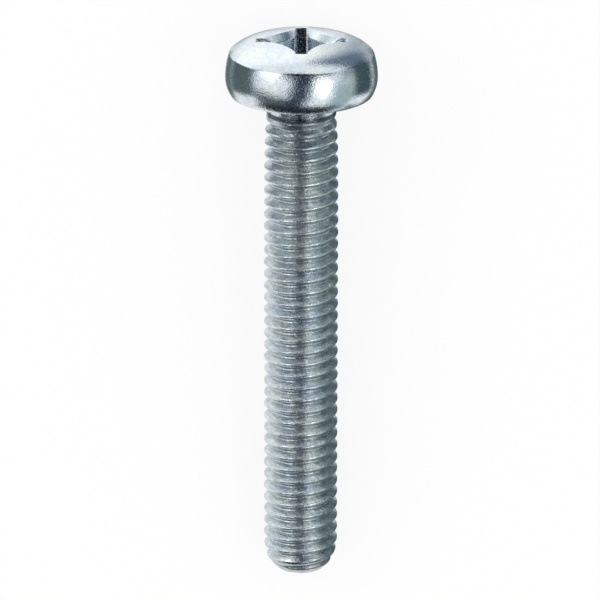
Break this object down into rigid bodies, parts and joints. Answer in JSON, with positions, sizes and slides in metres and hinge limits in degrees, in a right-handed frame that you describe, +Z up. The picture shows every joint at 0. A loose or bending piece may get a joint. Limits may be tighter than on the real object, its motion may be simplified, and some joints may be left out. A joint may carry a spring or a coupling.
{
  "type": "machine screw",
  "caption": "Pan head machine screw with a cross recess, a short plain neck and a coarse right-hand thread to its tip, lying at rest",
  "frame": {"origin": "centre of the bearing face under the head, on the screw's axis", "axes": "+X runs from the tip to the head along the lying screw, whose axis rises 4.4 degrees towards the head; +Z is up from the surface that it lies on; +Y is level, across the screw"},
  "size_m": [0.0446, 0.012, 0.012],
  "materials": {
    "zinc_plate": "bright zinc plate, semi-gloss"
  },
  "bodies": {
    "root": {"screw": "zinc_plate"}
  },
  "joints": []
}
